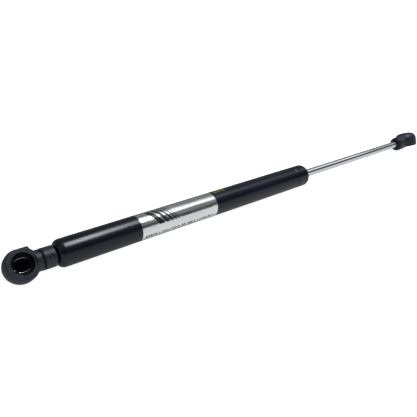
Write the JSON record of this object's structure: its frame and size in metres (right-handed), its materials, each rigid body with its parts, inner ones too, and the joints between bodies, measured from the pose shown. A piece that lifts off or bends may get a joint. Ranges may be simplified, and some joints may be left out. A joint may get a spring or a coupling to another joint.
{
  "type": "gas strut stay",
  "caption": "Sealed gas strut stay: round cylinder, sliding chromed rod, and a press-on ball socket at each end.",
  "frame": {"origin": "centre of the ball that the cylinder's socket holds", "axes": "+X along the strut, from the cylinder's socket to the rod's socket; +Z out of the mouth of the cylinder's socket; the rod's socket faces -Y, turned 20 degrees down"},
  "size_m": [0.5394, 0.0253, 0.0262],
  "materials": {
    "black_paint": "satin black paint on steel tube",
    "silver_foil": "brushed silver foil label",
    "socket_nylon": "moulded glass-filled nylon",
    "chromed_rod": "ground and chromed steel",
    "zinc_steel": "zinc plated steel",
    "spring_wire": "drawn spring wire",
    "seal_rubber": "nitrile rubber",
    "guide_plastic": "moulded acetal",
    "bush_bronze": "bronze",
    "piston_alloy": "sintered and tumbled"
  },
  "bodies": {
    "cylinder": {"pressure_tube": "black_paint", "end_plug": "zinc_steel", "end_plug_seal": "seal_rubber", "foil_label": "silver_foil", "seal_support_washer": "zinc_steel", "rod_seal": "seal_rubber", "rod_guide": "guide_plastic", "guide_bush": "bush_bronze", "tube_end_socket": "socket_nylon", "tube_end_insert": "zinc_steel", "tube_end_clip": "spring_wire"},
    "piston_ring": {"piston_ring": "guide_plastic"},
    "rod": {"piston_rod": "chromed_rod", "piston": "piston_alloy", "piston_washer": "zinc_steel", "extension_stop": "seal_rubber", "rod_end_socket": "socket_nylon", "rod_end_insert": "zinc_steel", "rod_end_clip": "spring_wire"},
    "valve_disc": {"valve_disc": "bush_bronze"}
  },
  "joints": [
    {"name": "rod_slide", "type": "slide", "parent": "cylinder", "child": "piston_ring", "axis": [1, 0, 0], "range_m": [-0.175, 0], "stiffness_N_per_m": 240, "springref_m": 0.625},
    {"name": "rod_turn", "type": "hinge", "parent": "piston_ring", "child": "rod", "pos_m": [0.3, 0, 0], "axis": [1, 0, 0], "continuous": true},
    {"name": "valve_lift", "type": "slide", "parent": "rod", "child": "valve_disc", "axis": [1, 0, 0], "range_m": [0, 0.00048]}
  ]
}
